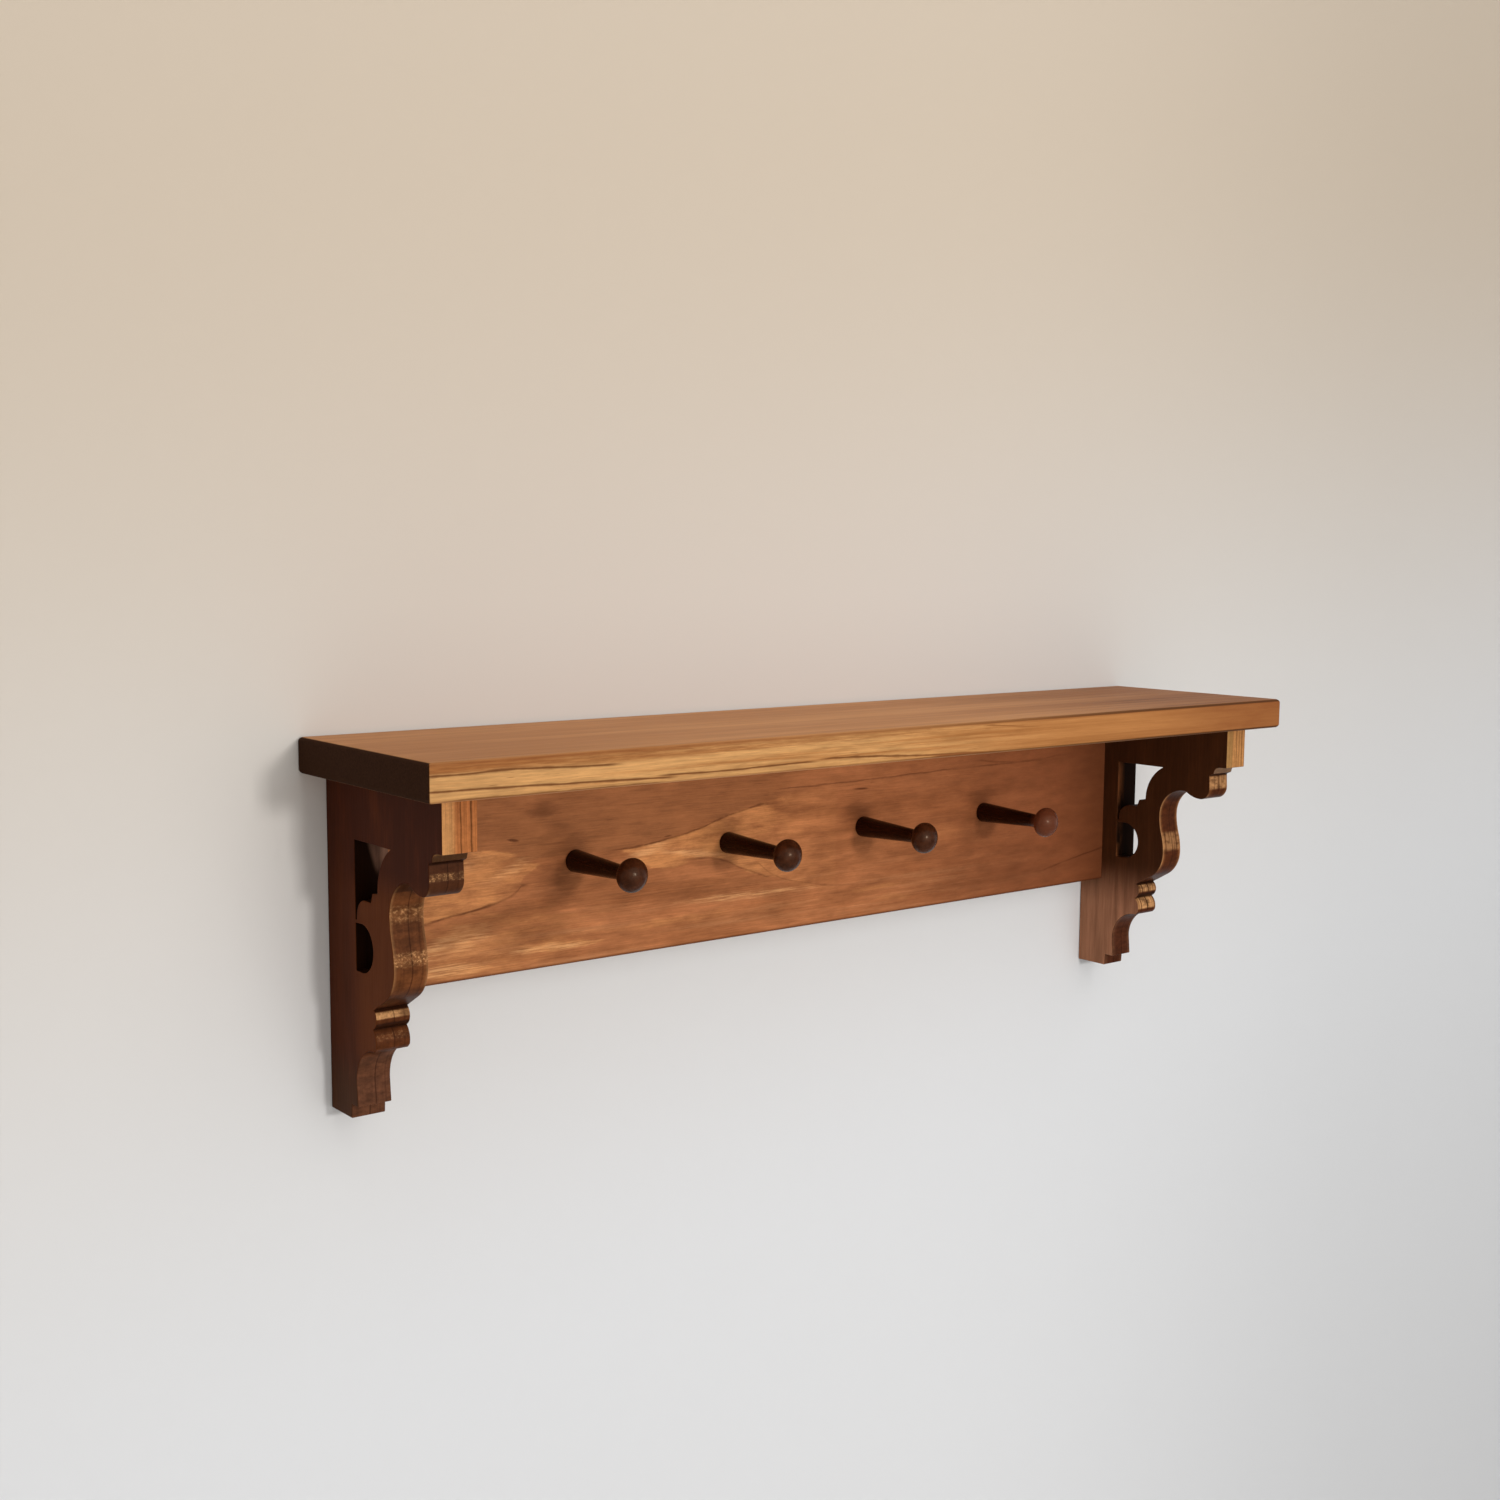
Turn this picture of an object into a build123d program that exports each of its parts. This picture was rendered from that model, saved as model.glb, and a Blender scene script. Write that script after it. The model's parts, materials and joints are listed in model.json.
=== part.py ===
"""Wall shelf with a peg rail: a shelf board on two fret-sawn brackets, with a rail of turned pegs.

Frame: +X along the shelf to the right, +Y into the wall, +Z up. The wall plane is Y = 0, and the
origin lies on it midway between the entry holes of the two keyhole hangers. Lengths are in mm.
"""
import os
from math import atan2, degrees, radians, tan

from build123d import *

os.makedirs("parts", exist_ok=True)

# ---------------------------------------------------------------- driving dimensions

# Shelf board
shelf_length = 635.0
shelf_depth = 140.0
shelf_thickness = 19.0
shelf_edge_radius = 2.2

# Where the boards meet
bracket_inset = 15.0        # shelf end to a bracket's outer face
arm_setback = 16.0          # shelf front edge to the nose of a bracket's arm
board_height = 117.0
board_thickness = 19.0
board_edge_radius = 1.2
hang_drop = 38.0            # underside of the shelf to the hangers' entry holes

# Bracket blank
bracket_thickness = 19.0
bracket_height = 179.0

# Arm of the bracket: square nose, small cove, then a roll
nose_height = 27.0
nose_ledge = 5.5
nose_cove_radius = 4.5
roll_setback = 13.0         # nose to the front of the roll
roll_radius = 8.0
roll_top = 33.0             # depth of the roll's top edge under the shelf
roll_height = 17.0
cusp_setback = 33.0
cusp_drop = 46.0

# Waist and belly of the scroll, as distances from the wall and under the shelf
waist_depth = 69.5
waist_drop = 65.0
scroll_swell = 4.1          # how far the belly stands in front of the waist
scroll_rise = 26.5          # height from the waist to the belly
belly_radius = 20.0
belly_turn = 60.0           # degrees that the belly turns under

# Foot of the bracket, measured up from its lower end
foot_depth = 24.0
foot_height = 7.7
ankle_depth = 31.5
heel_depth = 30.3           # narrowest place above the foot
heel_rise = 21.0
cove_depth = 50.8           # front of the big cove, under the beads
cove_rise = 41.0
bead_depth = 53.6           # front of the two beads
bead_height = 10.2
bead_notch = 3.6            # how far the notches between the beads cut back

# Fretwork opening of the bracket
leg_width = 32.0
window_drop = 31.5          # underside of the shelf to the top of the opening
horn_depth = 71.0           # front corner of the opening
horn_radius = 26.0
throat_depth = 56.6
throat_drop = 55.5
throat_step = 5.6
slit_width = 1.2            # saw cut that runs out between the lobe and the leg
slit_drop = 72.4            # underside of the shelf to the end of the slit
bridge_height = 2.0         # wood left between the slit and the eye
lobe_top_drop = 61.2
lobe_flat = 6.5
lobe_radius = 9.5
eye_radius = 12.5
eye_drop = 86.5
eye_setback = 6.5           # leg to the centre of the eye

# Pegs
peg_count = 4
peg_spacing = 108.0
peg_base_diameter = 13.0
peg_neck_diameter = 8.0
knob_diameter = 19.0
knob_front = 7.0            # widest place of the knob to its tip
knob_rim_radius = 4.6
knob_back_slope = 30.0      # degrees that the back of the knob leans towards the board
peg_projection = 63.5       # board face to the tip of the knob
peg_tenon_diameter = 9.5
peg_tenon_length = 14.0

# Hidden joinery: flat loose tenons glued into mortises
fit_gap = 0.05              # glue line round a tenon or screw
hole_bottom_gap = 0.4
loose_tenon_width = 28.0
loose_tenon_thickness = 6.0
tenon_in_panel = 12.0       # depth in the face of a board
tenon_in_edge = 14.0        # depth in an edge or end
arm_tenon_rear = 24.0       # wall to the middle of the rear tenon between bracket and shelf
arm_tenon_pitch = 66.0
board_tenon_count = 3
board_tenon_end = 20.0      # end of the peg board to the middle of its outermost tenon
end_tenon_pitch = 46.0      # the two tenons in each end of the peg board

# Keyhole hangers
hanger_spacing = 406.4
plate_width = 16.0
plate_height = 46.0
plate_thickness = 2.0
entry_hole_diameter = 9.5
slot_width = 4.8
slot_rise = 10.0
pocket_width = 12.0
pocket_depth = 8.0
plate_screw_pitch = 36.0
screw_head_diameter = 5.8
screw_diameter = 2.9
screw_length = 12.0
screw_slot_width = 0.8
screw_slot_depth = 0.7
screw_sink = 0.15           # screw heads lie this far below the plate's face

# ---------------------------------------------------------------- derived places

underside_z = hang_drop
arm_depth = shelf_depth - arm_setback
bracket_outer_x = shelf_length / 2 - bracket_inset
bracket_inner_x = bracket_outer_x - bracket_thickness
bracket_mid_x = bracket_outer_x - bracket_thickness / 2
board_length = 2 * bracket_inner_x
board_mid_y = -board_thickness / 2
board_mid_z = underside_z - board_height / 2
plate_mid_z = slot_rise / 2

arm_tenon_spots = [arm_tenon_rear + i * arm_tenon_pitch for i in range(2)]
board_tenon_pitch = (board_length - 2 * board_tenon_end) / (board_tenon_count - 1)
board_tenon_spots = [i * board_tenon_pitch for i in range(board_tenon_count)]
end_tenon_spots = [board_mid_z + side * end_tenon_pitch / 2 for side in (1, -1)]
peg_spots = [(i - (peg_count - 1) / 2) * peg_spacing for i in range(peg_count)]
hanger_spots = [side * hanger_spacing / 2 for side in (-1, 1)]
plate_screw_spots = [plate_mid_z + side * plate_screw_pitch / 2 for side in (1, -1)]

peg_hole_radius = peg_tenon_diameter / 2 + fit_gap
peg_hole_depth = peg_tenon_length + hole_bottom_gap
screw_head_height = (screw_head_diameter - screw_diameter) / 2

UP = (0, 0, 1)
RIGHT = (1, 0, 0)
FRONT = (0, -1, 0)
WALL = (0, 1, 0)

# Joint planes. Their x runs along the row of tenons, and their z from the edge into the panel.
board_joint = Plane(
    origin=(board_tenon_end - board_length / 2, board_mid_y, underside_z), x_dir=RIGHT, z_dir=UP,
)
arm_joints = {
    side: Plane(origin=(side * bracket_mid_x, 0, underside_z), x_dir=FRONT, z_dir=UP) for side in (-1, 1)
}
end_joints = {
    side: Plane(origin=(side * bracket_inner_x, board_mid_y, 0), x_dir=UP, z_dir=(side, 0, 0))
    for side in (-1, 1)
}


def finish(piece, name):
    """Label a finished piece and write it to its own file."""
    piece.part.label = name
    export_step(piece.part, "parts/" + name + ".step")


def bore(point, outward, radius, depth):
    """Drill a round blind hole into the face at a point; outward is the way out of its mouth."""
    with Locations(Plane(origin=point, z_dir=outward)):
        Hole(radius, depth)


def mortises(joint, spots, in_panel):
    """Cut a row of mortises at a joint plane, either ahead of it in the panel or behind it in the edge."""
    depth = (tenon_in_panel if in_panel else tenon_in_edge) + hole_bottom_gap
    with Locations(joint):
        with Locations(*[(spot, 0) for spot in spots]):
            Box(
                loose_tenon_width + 2 * fit_gap, loose_tenon_thickness + 2 * fit_gap, depth,
                align=(Align.CENTER, Align.CENTER, Align.MIN if in_panel else Align.MAX),
                mode=Mode.SUBTRACT,
            )


# ---------------------------------------------------------------- shelf board

with BuildPart() as shelf_board:
    with BuildSketch(Plane.XY.offset(underside_z)):
        with Locations((0, -shelf_depth / 2)):
            Rectangle(shelf_length, shelf_depth)
    extrude(amount=shelf_thickness)
    fillet(shelf_board.edges().filter_by(Axis.Z, reverse=True), radius=shelf_edge_radius)
    for arm_joint in arm_joints.values():
        mortises(arm_joint, arm_tenon_spots, in_panel=True)
    mortises(board_joint, board_tenon_spots, in_panel=True)
finish(shelf_board, "shelf_board")


# ---------------------------------------------------------------- peg board

def plate_outline(clearance):
    """Round-ended outline of a hanger plate, standing upright in the current sketch."""
    SlotOverall(plate_height + 2 * clearance, plate_width + 2 * clearance, rotation=90)


with BuildPart() as back_board:
    with BuildSketch(Plane.XZ):
        with Locations((0, board_mid_z)):
            Rectangle(board_length, board_height)
    extrude(amount=board_thickness)
    front_low_edge = back_board.faces().sort_by(Axis.Y)[0].edges().sort_by(Axis.Z)[0]
    fillet(front_low_edge, radius=board_edge_radius)
    for peg_x in peg_spots:
        bore((peg_x, -board_thickness, board_mid_z), FRONT, peg_hole_radius, peg_hole_depth)
    mortises(board_joint, board_tenon_spots, in_panel=False)
    for end_joint in end_joints.values():
        mortises(end_joint, end_tenon_spots, in_panel=False)
    for hanger_x in hanger_spots:
        with BuildSketch(Plane.XZ):
            with Locations((hanger_x, plate_mid_z)):
                plate_outline(fit_gap)
        extrude(amount=plate_thickness, mode=Mode.SUBTRACT)
        with BuildSketch(Plane.XZ):
            with Locations((hanger_x, slot_rise / 2)):
                SlotCenterToCenter(slot_rise, pocket_width, rotation=90)
        extrude(amount=plate_thickness + pocket_depth, mode=Mode.SUBTRACT)
        for screw_z in plate_screw_spots:
            bore((hanger_x, 0, screw_z), WALL, screw_diameter / 2 + fit_gap, screw_length + hole_bottom_gap)
finish(back_board, "back_board")


# ---------------------------------------------------------------- brackets

def bracket_outline():
    """Scroll outline of a bracket: x is the distance from the wall, y is negative under the shelf."""
    foot_y = -bracket_height
    nose = (arm_depth, -nose_height)
    nose_back = (arm_depth - nose_ledge, -nose_height)
    cove_end = (nose_back[0] - nose_cove_radius, nose_back[1] - nose_cove_radius)
    roll_front = arm_depth - roll_setback
    roll_start = (roll_front - 0.5, -roll_top)
    roll_side = (roll_front, -roll_top - roll_height + roll_radius)
    roll_base = (roll_front - roll_radius, -roll_top - roll_height)
    cusp = (arm_depth - cusp_setback, -cusp_drop)
    waist = (waist_depth, -waist_drop)
    middle = (waist_depth + scroll_swell / 2, -waist_drop - scroll_rise / 2)
    belly = (waist_depth + scroll_swell, -waist_drop - scroll_rise)
    cove_top = (cove_depth, foot_y + cove_rise)
    bead_corner = (bead_depth - 0.6, cove_top[1] + 2.0)
    low_notch = (bead_depth - bead_notch, bead_corner[1] + bead_height - 0.5)
    high_notch = (bead_depth - bead_notch + 1.0, low_notch[1] + bead_height)
    heel = (heel_depth, foot_y + heel_rise)

    Polyline((0, 0), (arm_depth, 0), nose, nose_back)
    TangentArc(nose_back, cove_end, tangent=(-1, 0))
    Polyline(cove_end, roll_start, roll_side)
    TangentArc(roll_side, roll_base, tangent=(0, -1))
    TangentArc(roll_base, cusp, tangent=(-1, 0))
    TangentArc(waist, cusp, tangent=(0, 1))
    TangentArc(waist, middle, tangent=(0, -1))
    TangentArc(belly, middle, tangent=(0, 1))
    turn_under = JernArc(belly, tangent=(0, -1), radius=belly_radius, arc_size=-belly_turn)
    Line(turn_under @ 1, high_notch)
    ThreePointArc(high_notch, (bead_depth, high_notch[1] - bead_height * 0.45), low_notch)
    ThreePointArc(low_notch, (bead_depth - 0.4, low_notch[1] - bead_height * 0.5), bead_corner)
    Line(bead_corner, cove_top)
    TangentArc(heel, cove_top, tangent=(0, 1))
    Polyline(
        heel, (ankle_depth, foot_y + foot_height), (foot_depth + 0.5, foot_y + foot_height),
        (foot_depth, foot_y), (0, foot_y), (0, 0),
    )


def window_outline():
    """Upper fretwork opening, between the leg and the scroll's lobe."""
    top_corner = (leg_width, -window_drop)
    horn = (horn_depth, -window_drop)
    throat = (throat_depth, -throat_drop)
    step = (throat_depth - throat_step, -throat_drop - 0.8)
    slit_front = leg_width + slit_width
    lobe_start = (slit_front + lobe_radius + lobe_flat, -lobe_top_drop)
    lobe_shoulder = (slit_front + lobe_radius, -lobe_top_drop)
    lobe_side = (slit_front, -lobe_top_drop - lobe_radius)

    Line(top_corner, horn)
    RadiusArc(horn, throat, -horn_radius)
    Polyline(throat, step, lobe_start, lobe_shoulder)
    TangentArc(lobe_shoulder, lobe_side, tangent=(-1, 0))
    Polyline(lobe_side, (slit_front, -slit_drop), (leg_width, -slit_drop), top_corner)


def eye_outline():
    """Lower fretwork opening, a half-round eye against the leg."""
    eye_x = leg_width + eye_setback
    eye_top = (eye_x, -eye_drop + eye_radius)
    eye_base = (eye_x, -eye_drop - eye_radius)
    leg_top = (leg_width, -slit_drop - bridge_height)
    leg_base = (leg_width, -eye_drop - eye_radius)

    Polyline(eye_base, leg_base, leg_top, eye_top)
    ThreePointArc(eye_top, (eye_x + eye_radius, -eye_drop), eye_base)


def make_bracket(side):
    """One bracket; side is -1 for the left one and 1 for the right one."""
    high_x = side * bracket_mid_x + bracket_thickness / 2
    blank_plane = Plane(origin=(high_x, 0, underside_z), x_dir=(0, -1, 0), z_dir=(-1, 0, 0))
    with BuildPart() as bracket:
        with BuildSketch(blank_plane):
            with BuildLine():
                bracket_outline()
            make_face()
            with BuildLine():
                window_outline()
            make_face(mode=Mode.SUBTRACT)
            with BuildLine():
                eye_outline()
            make_face(mode=Mode.SUBTRACT)
        extrude(amount=bracket_thickness)
        mortises(arm_joints[side], arm_tenon_spots, in_panel=False)
        mortises(end_joints[side], end_tenon_spots, in_panel=True)
    return bracket


finish(make_bracket(-1), "left_bracket")
finish(make_bracket(1), "right_bracket")


# ---------------------------------------------------------------- turned pegs

def peg_profile():
    """Half of a peg's length section: x from the board's face outwards, y from the peg's axis."""
    tenon_radius = peg_tenon_diameter / 2
    base_radius = peg_base_diameter / 2
    neck_radius = peg_neck_diameter / 2
    rim_height = knob_diameter / 2 - knob_rim_radius
    # the face of the knob crosses the axis squarely and runs smoothly into the rim
    rim_lead = knob_front - knob_rim_radius
    face_radius = (knob_front**2 + rim_height**2 - knob_rim_radius**2) / (2 * rim_lead)
    face_angle = degrees(atan2(rim_height, face_radius - knob_front))

    face = CenterArc((peg_projection - face_radius, 0), face_radius, 0, face_angle)
    rim_centre = (peg_projection - knob_front, rim_height)
    rim = CenterArc(rim_centre, knob_rim_radius, face_angle, 180 - knob_back_slope - face_angle)
    rim_end = rim @ 1
    neck_x = rim_end.X - (rim_end.Y - neck_radius) * tan(radians(knob_back_slope))
    Polyline(
        rim_end, (neck_x, neck_radius), (0, base_radius), (0, tenon_radius),
        (-peg_tenon_length, tenon_radius), (-peg_tenon_length, 0), face @ 0,
    )


with BuildPart() as pegs:
    for peg_x in peg_spots:
        seat = Plane(origin=(peg_x, -board_thickness, board_mid_z), x_dir=FRONT, z_dir=RIGHT)
        with BuildSketch(seat):
            with BuildLine():
                peg_profile()
            make_face()
        revolve(axis=Axis(seat.origin, seat.x_dir))
finish(pegs, "pegs")


# ---------------------------------------------------------------- loose tenons

def make_tenons(joint, spots):
    """The row of loose tenons that crosses a joint plane."""
    with BuildPart() as tenons:
        with BuildSketch(joint.offset(-tenon_in_edge)):
            with Locations(*[(spot, 0) for spot in spots]):
                Rectangle(loose_tenon_width, loose_tenon_thickness)
        extrude(amount=tenon_in_edge + tenon_in_panel)
    return tenons


finish(make_tenons(board_joint, board_tenon_spots), "board_shelf_tenons")
for name, side in (("left", -1), ("right", 1)):
    finish(make_tenons(arm_joints[side], arm_tenon_spots), name + "_bracket_shelf_tenons")
    finish(make_tenons(end_joints[side], end_tenon_spots), name + "_bracket_board_tenons")


# ---------------------------------------------------------------- keyhole hangers

with BuildPart() as keyhole_plates:
    with BuildSketch(Plane.XZ):
        for hanger_x in hanger_spots:
            with Locations((hanger_x, plate_mid_z)):
                plate_outline(0)
            with Locations((hanger_x, 0)):
                Circle(entry_hole_diameter / 2, mode=Mode.SUBTRACT)
            with Locations((hanger_x, slot_rise / 2)):
                SlotCenterToCenter(slot_rise, slot_width, rotation=90, mode=Mode.SUBTRACT)
    extrude(amount=plate_thickness)
    for hanger_x in hanger_spots:
        for screw_z in plate_screw_spots:
            with Locations(Plane(origin=(hanger_x, 0, screw_z), z_dir=WALL)):
                CounterSinkHole(
                    screw_diameter / 2 + fit_gap, screw_head_diameter / 2 + fit_gap + screw_sink,
                    counter_sink_angle=90,
                )
finish(keyhole_plates, "keyhole_plates")


def screw_profile():
    """Half of a countersunk wood screw's length section, from its head inwards."""
    shank_radius = screw_diameter / 2
    Polyline(
        (0, 0), (0, screw_head_diameter / 2), (screw_head_height, shank_radius),
        (screw_length, shank_radius), (screw_length, 0), (0, 0),
    )


with BuildPart() as plate_screws:
    for hanger_x in hanger_spots:
        for screw_z in plate_screw_spots:
            seat = Plane(origin=(hanger_x, -screw_sink, screw_z), x_dir=FRONT, z_dir=RIGHT)
            with BuildSketch(seat):
                with BuildLine():
                    screw_profile()
                make_face()
            revolve(axis=Axis(seat.origin, seat.x_dir))
            with BuildSketch(Plane.XZ):
                with Locations((hanger_x, screw_z)):
                    Rectangle(screw_head_diameter, screw_slot_width)
            extrude(amount=screw_sink + screw_slot_depth, mode=Mode.SUBTRACT)
finish(plate_screws, "plate_screws")
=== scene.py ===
"""Looks for a wall shelf with a peg rail: stained boards, fret-sawn brackets, turned pegs and hangers.

Laid out as an add-on: sizes and colours are properties, and each group of pieces is one operator.
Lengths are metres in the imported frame: +X along the shelf, +Y into the wall, +Z up.
"""
import json
from functools import partial, reduce
from math import atan2, cos, pi, radians, sin, tan

import bmesh
import bpy
from mathutils import Matrix, Vector


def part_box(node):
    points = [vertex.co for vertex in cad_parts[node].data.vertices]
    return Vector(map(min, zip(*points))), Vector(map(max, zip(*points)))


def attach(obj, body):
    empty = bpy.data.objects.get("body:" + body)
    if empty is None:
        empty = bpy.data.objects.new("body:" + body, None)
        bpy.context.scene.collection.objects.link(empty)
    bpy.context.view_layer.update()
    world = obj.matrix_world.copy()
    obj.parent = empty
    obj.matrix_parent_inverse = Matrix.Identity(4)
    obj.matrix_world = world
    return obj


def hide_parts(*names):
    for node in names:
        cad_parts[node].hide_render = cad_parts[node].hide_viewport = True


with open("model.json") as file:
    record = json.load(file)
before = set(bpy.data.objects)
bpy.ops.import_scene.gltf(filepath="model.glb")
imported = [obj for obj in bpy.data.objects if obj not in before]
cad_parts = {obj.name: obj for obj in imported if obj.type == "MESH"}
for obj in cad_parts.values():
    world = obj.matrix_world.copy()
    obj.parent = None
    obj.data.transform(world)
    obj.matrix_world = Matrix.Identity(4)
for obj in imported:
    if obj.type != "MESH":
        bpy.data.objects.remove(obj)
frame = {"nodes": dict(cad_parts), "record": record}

bl_info = {
    "name": "Peg Rail Shelf",
    "version": (1, 0, 0),
    "blender": (4, 5, 0),
    "location": "3D View > Sidebar > Peg Shelf",
    "description": "Builds the finish of a wall shelf with a rail of turned pegs",
    "category": "Object",
}

MM = 0.001
BODY = "root"
X, Y, Z = range(3)
MERGE_DISTANCE = 0.002 * MM
BRACKET_MIDDLE = 293.0  # mm from the shelf's middle to the middle of a bracket's thickness


# ---------------- properties

def length(name, description, default):
    """A property for a length in metres."""
    return bpy.props.FloatProperty(
        name=name, description=description, default=default, min=0.0, subtype="DISTANCE", unit="LENGTH",
    )


def colour(name, description, default):
    """A property for a linear colour."""
    return bpy.props.FloatVectorProperty(
        name=name, description=description, default=default, size=3, min=0.0, max=1.0, subtype="COLOR",
    )


class ShelfSizes(bpy.types.PropertyGroup):
    """Sizes that the looks add to the frame."""

    shelf_round: length("Shelf edge", "Radius of the long and end edges of the shelf", 2.2 * MM)
    shelf_corner: length("Shelf corner", "Radius of the upright corners of the shelf", 0.8 * MM)
    bracket_ease: length("Bracket edge", "Width of the sanded edges of the brackets", 0.7 * MM)
    steel_ease: length("Steel edge", "Width of the edges of plates and screws", 0.15 * MM)
    knob_front: length("Knob front", "Widest place of a knob to its tip", 7.0 * MM)
    knob_rim: length("Knob rim", "Radius of a knob's rim in its length section", 4.6 * MM)
    knob_slope: bpy.props.FloatProperty(
        name="Knob slope", description="How far a knob's back leans to the board",
        default=radians(30.0), min=0.0, subtype="ANGLE", unit="ROTATION",
    )
    throat_round: length("Peg throat", "Radius between a peg's neck and its knob", 2.0 * MM)
    neck_diameter: length("Peg neck", "Diameter of a peg behind its knob", 8.0 * MM)
    base_diameter: length("Peg base", "Diameter of a peg at the board", 13.0 * MM)
    foot_round: length("Peg foot", "Radius of a peg's edge at the board", 0.7 * MM)
    tenon_diameter: length("Peg tenon", "Diameter of a peg inside the board", 9.5 * MM)


class ShelfColours(bpy.types.PropertyGroup):
    """Colours of the stains, the metal and the stage."""

    honey: colour("Front edge, light", "Golden bands of the shelf's front edge", (0.63, 0.325, 0.118))
    honey_deep: colour("Front edge, deep", "Deeper bands of the shelf's front edge", (0.42, 0.165, 0.048))
    honey_dark: colour("Shelf, lines", "Grain lines and pores of the shelf", (0.13, 0.042, 0.012))
    honey_pale: colour("Shelf top, light", "Lighter streaks of the shelf's top", (0.6, 0.285, 0.112))
    honey_brown: colour("Shelf top, brown", "Browner streaks of the shelf's top", (0.44, 0.185, 0.064))
    russet: colour("Shelf, russet", "Deep stain of the shelf", (0.25, 0.082, 0.024))
    russet_top: colour("Shelf top, ends", "Deeper stain at the top's ends", (0.255, 0.09, 0.026))
    end_grain: colour("Shelf, end grain", "Ends of the shelf", (0.036, 0.013, 0.005))
    chestnut: colour("Board, light", "Lighter wood of the peg board", (0.52, 0.19, 0.072))
    chestnut_deep: colour("Board, deep", "Deeper wood of the peg board", (0.36, 0.125, 0.044))
    chestnut_dark: colour("Board, lines", "Grain lines and pores of the peg board", (0.085, 0.024, 0.008))
    copper: colour("Board, copper", "Lighter streaks low on the peg board", (0.64, 0.285, 0.12))
    olive: colour("Board, olive", "Brown wood above the ridge of the figure", (0.36, 0.135, 0.05))
    amber: colour("Board, golden", "Patches that took little stain", (0.65, 0.27, 0.092))
    blond: colour("Board, palest", "Bare spots in the golden patches", (0.8, 0.4, 0.165))
    mahogany: colour("Board, right end", "Redder, deeper end of the peg board", (0.205, 0.06, 0.022))
    umber: colour("Bracket", "Faces of the brackets", (0.062, 0.013, 0.004))
    umber_warm: colour("Bracket, warm", "Warmer middle of the left bracket's face", (0.135, 0.034, 0.007))
    umber_grey: colour("Bracket, low", "Lower end of the brackets' legs", (0.072, 0.03, 0.012))
    # also painted shade in the notches of the sawn edges
    umber_dark: colour("Bracket, dark", "Pooled stain of the brackets", (0.018, 0.005, 0.002))
    umber_edge: colour("Bracket edge", "Sawn edges of the brackets", (0.15, 0.048, 0.015))
    # painted highlights of the sawn edges, partly rubbed gold
    gold_and_glints: colour("Bracket, rubbed", "Rubbed places of the sawn edges", (0.6, 0.3, 0.12))
    umber_roll: colour("Left roll", "Roll under the left bracket's nose", (0.062, 0.02, 0.008))
    umber_foot: colour("Bracket foot", "Sawn edge at a bracket's foot", (0.135, 0.052, 0.026))
    # stain darkened further with painted shade inside the openings
    fret_stain_and_shade: colour("Fretwork", "Inner edges of the fretwork", (0.014, 0.004, 0.001))
    # painted light on the side of the left bracket's opening that the room light reaches
    fret_painted_light: colour("Fretwork, pale", "Paler side of the left bracket's opening", (0.2, 0.1, 0.064))
    # streaky stain with painted light from the wall, on the right bracket's lower part
    cocoa_streaks_and_light: colour("Bracket, worn", "Lower part of the right bracket", (0.44, 0.195, 0.105))
    honey_nose: colour("Left nose", "Front of the left bracket's nose", (0.4, 0.135, 0.04))
    honey_clear: colour("Right nose", "Front of the right bracket's nose", (0.48, 0.215, 0.07))
    olive_gold: colour("Right nose, strip", "Strip on the right bracket's nose", (0.36, 0.19, 0.062))
    cove_brown: colour("Right cove", "Hollow under the right bracket's nose", (0.19, 0.105, 0.06))
    espresso: colour("Peg", "Stain of the pegs", (0.026, 0.005, 0.001))
    espresso_dark: colour("Peg, dark", "Darker grain of the pegs", (0.01, 0.002, 0.001))
    # painted light on the knobs' fronts
    knob_front_light: colour("Knob", "Rubbed stain of the knobs", (0.068, 0.019, 0.007))
    knob_red: colour("Right knob", "Redder stain of the right knob", (0.17, 0.045, 0.02))
    beech: colour("Tenon", "Bare wood of the hidden tenons", (0.58, 0.38, 0.2))
    zinc: colour("Plate", "Plating of the hangers", (0.62, 0.6, 0.55))
    brass: colour("Screw", "Plating of the screws", (0.66, 0.56, 0.33))
    # the wall's two tones carry painted light, warmer and dimmer high up
    wall_low: colour("Wall, low", "Backdrop below the shelf", (0.735, 0.738, 0.745))
    wall_high: colour("Wall, high", "Backdrop above the shelf", (0.6, 0.505, 0.4))
    floor: colour("Floor", "Floor far below the shelf", (0.72, 0.71, 0.69))
    background: colour("Background", "Seen past the wall and the floor", (0.74, 0.72, 0.7))


def sizes():
    return bpy.context.scene.peg_shelf_sizes


def colours():
    return bpy.context.scene.peg_shelf_colours


# ---------------- material graphs

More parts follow.
